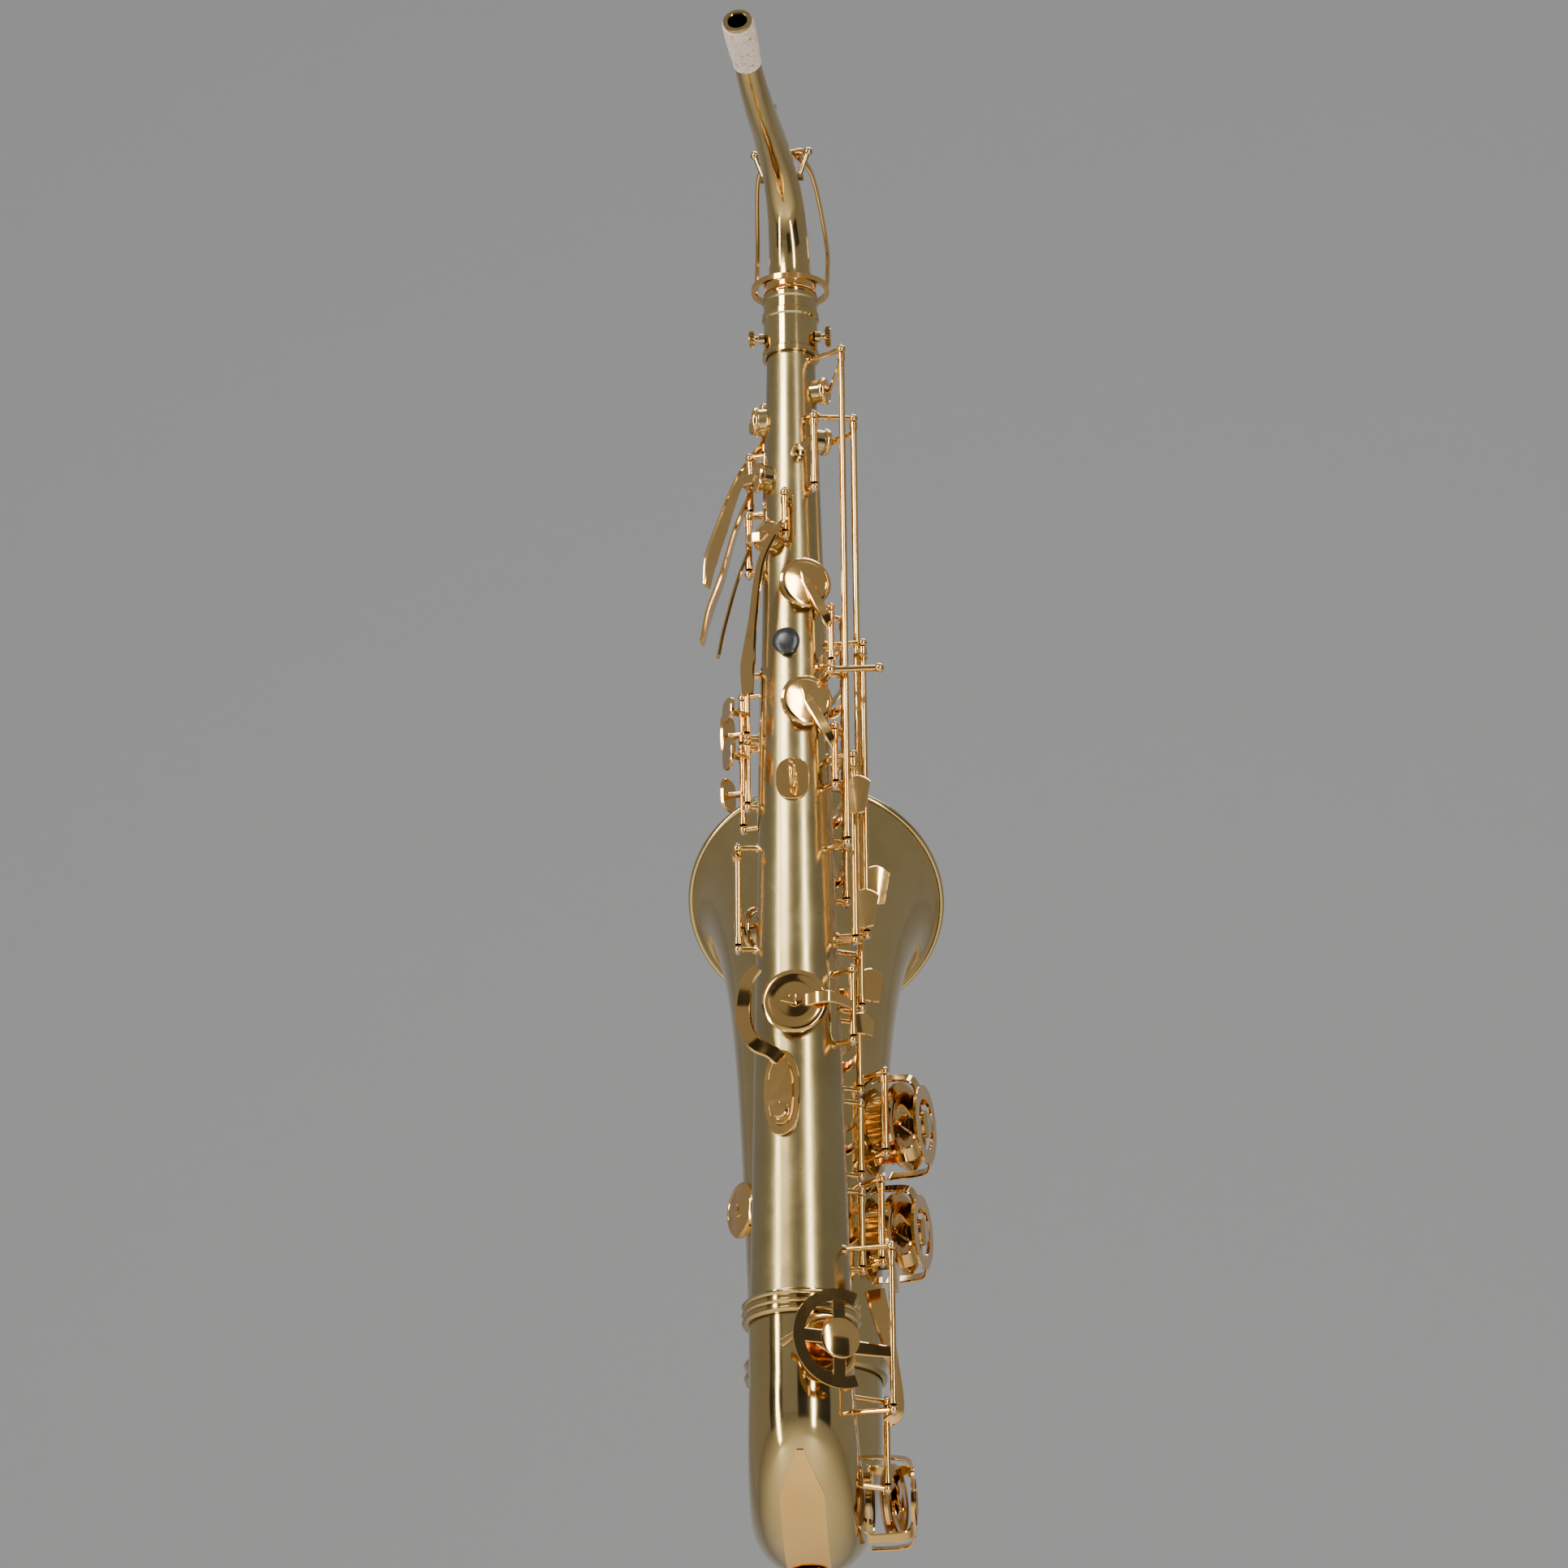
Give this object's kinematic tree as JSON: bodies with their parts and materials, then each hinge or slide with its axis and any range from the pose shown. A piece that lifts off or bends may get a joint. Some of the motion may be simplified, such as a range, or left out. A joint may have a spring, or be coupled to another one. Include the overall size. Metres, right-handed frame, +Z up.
{
  "type": "tenor saxophone",
  "caption": "Tenor saxophone with S-bend neck, flared bell, bow and hinged keywork, sitting on the guard plate under its bow.",
  "frame": {"origin": "centre of the flat rest on the bow's guard plate", "axes": "+Z up along the body tube, +X to the player's right, +Y from the player towards the bell"},
  "size_m": [0.159, 0.4235, 0.8907],
  "materials": {
    "lacquer": "satin and polished clear-lacquered brass",
    "keywork": "polished gold-lacquered brass",
    "cork": "fine cork",
    "felt": "black felt",
    "pad": "brown leather",
    "resin": "black resin"
  },
  "bodies": {
    "body": {"body_tube": "lacquer", "bow": "lacquer", "bell": "lacquer", "bell_rim": "lacquer", "neck_receiver": "lacquer", "body_ferrule": "lacquer", "bell_ferrule": "lacquer", "bow_guard": "keywork", "bell_brace": "keywork", "strap_ring": "keywork", "thumb_hook": "keywork", "left_thumb_rest": "resin", "low_bflat_guard": "keywork", "low_bflat_felt": "felt", "low_b_guard": "keywork", "low_b_felt": "felt", "low_c_guard": "keywork", "low_eflat_guard": "keywork", "side_rod_bracket": "keywork"},
    "neck": {"neck_tube": "lacquer", "neck_cork": "cork", "neck_collar": "keywork"},
    "aux_c_key_body": {"aux_c_key": "keywork"},
    "b_key_body": {"b_key": "keywork"},
    "bis_key_body": {"bis_key": "keywork"},
    "a_key_body": {"a_key": "keywork"},
    "g_key_body": {"g_key": "keywork"},
    "aux_fsharp_key_body": {"aux_fsharp_key": "keywork"},
    "f_key_body": {"f_key": "keywork"},
    "e_key_body": {"e_key": "keywork"},
    "d_key_body": {"d_key": "keywork"},
    "side_c_key_body": {"side_c_key": "keywork"},
    "side_bflat_key_body": {"side_bflat_key": "keywork"},
    "side_c_lever_body": {"side_c_lever": "keywork"},
    "side_bflat_lever_body": {"side_bflat_lever": "keywork"},
    "side_e_key_body": {"side_e_key": "keywork"},
    "high_fsharp_key_body": {"high_fsharp_key": "keywork"},
    "fsharp_trill_key_body": {"fsharp_trill_key": "keywork"},
    "palm_d_key_body": {"palm_d_key": "keywork"},
    "palm_eflat_key_body": {"palm_eflat_key": "keywork"},
    "palm_f_key_body": {"palm_f_key": "keywork"},
    "gsharp_key_body": {"gsharp_key": "keywork"},
    "gsharp_touch_body": {"gsharp_touch": "keywork"},
    "csharp_touch_body": {"csharp_touch": "keywork"},
    "low_b_touch_body": {"low_b_touch": "keywork"},
    "low_bflat_touch_body": {"low_bflat_touch": "keywork"},
    "octave_thumb_lever_body": {"octave_thumb_lever": "keywork"},
    "body_octave_key_body": {"body_octave_key": "keywork"},
    "neck_octave_key_body": {"neck_octave_key": "keywork"},
    "low_bflat_key_body": {"low_bflat_key": "keywork", "low_bflat_pad": "pad"},
    "low_b_key_body": {"low_b_key": "keywork", "low_b_pad": "pad"},
    "low_csharp_key_body": {"low_csharp_key": "keywork"},
    "low_c_key_body": {"low_c_key": "keywork", "low_c_pad": "pad"},
    "low_eflat_key_body": {"low_eflat_key": "keywork"},
    "neck_clamp_screw_body": {"neck_clamp_screw": "keywork"},
    "lyre_screw_body": {"lyre_screw": "keywork"}
  },
  "joints": [
    {"name": "neck_swivel", "type": "hinge", "parent": "body", "child": "neck", "pos_m": [0, -0.06, 0.79], "axis": [0, 0, 1], "range_deg": [-40, 40]},
    {"name": "aux_c_hinge", "type": "hinge", "parent": "body", "child": "aux_c_key_body", "pos_m": [0.0287, -0.04474, 0.566], "axis": [0, 0, 1], "range_deg": [0, 6.73]},
    {"name": "b_hinge", "type": "hinge", "parent": "body", "child": "b_key_body", "pos_m": [0.0287, -0.04474, 0.528], "axis": [0, 0, 1], "range_deg": [0, 6.72], "stiffness_Nm_per_rad": 0.06, "springref_deg": -17.19},
    {"name": "bis_hinge", "type": "hinge", "parent": "body", "child": "bis_key_body", "pos_m": [0.0287, -0.04474, 0.4915], "axis": [0, 0, 1], "range_deg": [0, 6.72], "stiffness_Nm_per_rad": 0.06, "springref_deg": -17.19},
    {"name": "a_hinge", "type": "hinge", "parent": "body", "child": "a_key_body", "pos_m": [0.0287, -0.04474, 0.4555], "axis": [0, 0, 1], "range_deg": [0, 6.72], "stiffness_Nm_per_rad": 0.06, "springref_deg": -17.19},
    {"name": "g_hinge", "type": "hinge", "parent": "body", "child": "g_key_body", "pos_m": [0.0287, -0.04474, 0.4175], "axis": [0, 0, 1], "range_deg": [0, 6.72], "stiffness_Nm_per_rad": 0.06, "springref_deg": -17.19},
    {"name": "aux_fsharp_hinge", "type": "hinge", "parent": "body", "child": "aux_fsharp_key_body", "pos_m": [0.03488, -0.04146, 0.3495], "axis": [0, 0, 1], "range_deg": [0, 6.73]},
    {"name": "f_hinge", "type": "hinge", "parent": "body", "child": "f_key_body", "pos_m": [0.03488, -0.04146, 0.304], "axis": [0, 0, 1], "range_deg": [0, 6.72], "stiffness_Nm_per_rad": 0.06, "springref_deg": -17.19},
    {"name": "e_hinge", "type": "hinge", "parent": "body", "child": "e_key_body", "pos_m": [0.03488, -0.04146, 0.2525], "axis": [0, 0, 1], "range_deg": [0, 6.72], "stiffness_Nm_per_rad": 0.06, "springref_deg": -17.19},
    {"name": "d_hinge", "type": "hinge", "parent": "body", "child": "d_key_body", "pos_m": [0.03488, -0.04146, 0.196], "axis": [0, 0, 1], "range_deg": [0, 6.72], "stiffness_Nm_per_rad": 0.06, "springref_deg": -17.19},
    {"name": "side_c_hinge", "type": "hinge", "parent": "body", "child": "side_c_key_body", "pos_m": [0.02364, -0.07847, 0.559], "axis": [0, 0, 1], "range_deg": [0, 8.01]},
    {"name": "side_bflat_hinge", "type": "hinge", "parent": "body", "child": "side_bflat_key_body", "pos_m": [0.02522, -0.0797, 0.481], "axis": [0, 0, 1], "range_deg": [0, 8.01]},
    {"name": "side_c_lever_hinge", "type": "hinge", "parent": "body", "child": "side_c_lever_body", "pos_m": [0.04177, -0.06439, 0.4655], "axis": [0, 0, -1], "range_deg": [0, 8], "stiffness_Nm_per_rad": 0.06, "springref_deg": -17.19},
    {"name": "side_bflat_lever_hinge", "type": "hinge", "parent": "body", "child": "side_bflat_lever_body", "pos_m": [0.03571, -0.073, 0.425], "axis": [0, 0, -1], "range_deg": [0, 8], "stiffness_Nm_per_rad": 0.06, "springref_deg": -17.19},
    {"name": "side_e_hinge", "type": "hinge", "parent": "body", "child": "side_e_key_body", "pos_m": [0.03236, -0.08351, 0.5845], "axis": [0, 0, -1], "range_deg": [0, 9], "stiffness_Nm_per_rad": 0.06, "springref_deg": -17.19},
    {"name": "high_fsharp_hinge", "type": "hinge", "parent": "body", "child": "high_fsharp_key_body", "pos_m": [0.03742, -0.0534, 0.521], "axis": [0, 0, -1], "range_deg": [0, 9], "stiffness_Nm_per_rad": 0.06, "springref_deg": -17.19},
    {"name": "fsharp_trill_hinge", "type": "hinge", "parent": "body", "child": "fsharp_trill_key_body", "pos_m": [0.03392, -0.0812, 0.323], "axis": [0, 0, 1], "range_deg": [0, 8], "stiffness_Nm_per_rad": 0.06, "springref_deg": -17.19},
    {"name": "palm_d_hinge", "type": "hinge", "parent": "body", "child": "palm_d_key_body", "pos_m": [-0.02641, -0.06561, 0.625], "axis": [0, 0, -1], "range_deg": [0, 9], "stiffness_Nm_per_rad": 0.06, "springref_deg": -17.19},
    {"name": "palm_eflat_hinge", "type": "hinge", "parent": "body", "child": "palm_eflat_key_body", "pos_m": [-0.0262, -0.05347, 0.669], "axis": [0, 0, -1], "range_deg": [0, 9], "stiffness_Nm_per_rad": 0.06, "springref_deg": -17.19},
    {"name": "palm_f_hinge", "type": "hinge", "parent": "body", "child": "palm_f_key_body", "pos_m": [-0.01806, -0.0413, 0.7105], "axis": [0, 0, -1], "range_deg": [0, 9], "stiffness_Nm_per_rad": 0.06, "springref_deg": -17.19},
    {"name": "gsharp_hinge", "type": "hinge", "parent": "body", "child": "gsharp_key_body", "pos_m": [-0.03481, -0.06366, 0.398], "axis": [0, 0, 1], "range_deg": [0, 7.01]},
    {"name": "gsharp_touch_hinge", "type": "hinge", "parent": "body", "child": "gsharp_touch_body", "pos_m": [-0.02837, -0.06603, 0.52], "axis": [0, 0, -1], "range_deg": [0, 7], "stiffness_Nm_per_rad": 0.06, "springref_deg": -17.19},
    {"name": "csharp_touch_hinge", "type": "hinge", "parent": "body", "child": "csharp_touch_body", "pos_m": [-0.02837, -0.06603, 0.476], "axis": [0, 0, -1], "range_deg": [0, 7], "stiffness_Nm_per_rad": 0.06, "springref_deg": -17.19},
    {"name": "low_b_touch_hinge", "type": "hinge", "parent": "body", "child": "low_b_touch_body", "pos_m": [-0.03234, -0.04949, 0.516], "axis": [0, 0, -1], "range_deg": [0, 7], "stiffness_Nm_per_rad": 0.06, "springref_deg": -17.19},
    {"name": "low_bflat_touch_hinge", "type": "hinge", "parent": "body", "child": "low_bflat_touch_body", "pos_m": [-0.03234, -0.04949, 0.472], "axis": [0, 0, -1], "range_deg": [0, 7], "stiffness_Nm_per_rad": 0.06, "springref_deg": -17.19},
    {"name": "octave_thumb_lever_hinge", "type": "hinge", "parent": "body", "child": "octave_thumb_lever_body", "pos_m": [-0.00282, -0.08685, 0.636], "axis": [0, 0, 1], "range_deg": [0, 8], "stiffness_Nm_per_rad": 0.06, "springref_deg": -17.19},
    {"name": "body_octave_hinge", "type": "hinge", "parent": "body", "child": "body_octave_key_body", "pos_m": [0.01478, -0.07891, 0.68], "axis": [0, 0, 1], "range_deg": [0, 5.61]},
    {"name": "neck_octave_hinge", "type": "hinge", "parent": "neck", "child": "neck_octave_key_body", "pos_m": [-0.00241, -0.0899, 0.876], "axis": [0.9968, -0.0802, 0], "range_deg": [0, 2.41]},
    {"name": "low_bflat_hinge", "type": "hinge", "parent": "body", "child": "low_bflat_key_body", "pos_m": [0.046, 0.022, 0.29], "axis": [0, 0, 1], "range_deg": [0, 8.76]},
    {"name": "low_b_hinge", "type": "hinge", "parent": "body", "child": "low_b_key_body", "pos_m": [0.043, 0.021, 0.222], "axis": [0, 0, 1], "range_deg": [0, 8.76]},
    {"name": "low_csharp_hinge", "type": "hinge", "parent": "body", "child": "low_csharp_key_body", "pos_m": [-0.021, 0.013, 0.237], "axis": [0, 0, 1], "range_deg": [0, 7.01]},
    {"name": "low_c_hinge", "type": "hinge", "parent": "body", "child": "low_c_key_body", "pos_m": [0.047, -0.028, 0.07], "axis": [0, 0, 1], "range_deg": [0, 11.52], "stiffness_Nm_per_rad": 0.06, "springref_deg": -17.19},
    {"name": "low_eflat_hinge", "type": "hinge", "parent": "body", "child": "low_eflat_key_body", "pos_m": [0.054, -0.076, 0.127], "axis": [0, 0, 1], "range_deg": [0, 9], "stiffness_Nm_per_rad": 0.06, "springref_deg": -17.19},
    {"name": "neck_clamp_screw_turn", "type": "hinge", "parent": "body", "child": "neck_clamp_screw_body", "pos_m": [0.022, -0.066, 0.762], "axis": [1, 0, 0], "range_deg": [-180, 180]},
    {"name": "lyre_screw_turn", "type": "hinge", "parent": "body", "child": "lyre_screw_body", "pos_m": [-0.022, -0.066, 0.762], "axis": [-1, 0, 0], "range_deg": [-180, 180]}
  ],
  "couplings": [
    {"joint": "body_octave_hinge", "follows": "octave_thumb_lever_hinge", "ratio": 0.7},
    {"joint": "neck_octave_hinge", "follows": "octave_thumb_lever_hinge", "ratio": 0.3},
    {"joint": "aux_c_hinge", "follows": "b_hinge", "ratio": 1},
    {"joint": "aux_fsharp_hinge", "follows": "f_hinge", "ratio": 1},
    {"joint": "gsharp_hinge", "follows": "gsharp_touch_hinge", "ratio": 1},
    {"joint": "low_csharp_hinge", "follows": "csharp_touch_hinge", "ratio": 1},
    {"joint": "low_b_hinge", "follows": "low_b_touch_hinge", "ratio": 1.25},
    {"joint": "low_bflat_hinge", "follows": "low_bflat_touch_hinge", "ratio": 1.25},
    {"joint": "side_c_hinge", "follows": "side_c_lever_hinge", "ratio": 1},
    {"joint": "side_bflat_hinge", "follows": "side_bflat_lever_hinge", "ratio": 1}
  ]
}
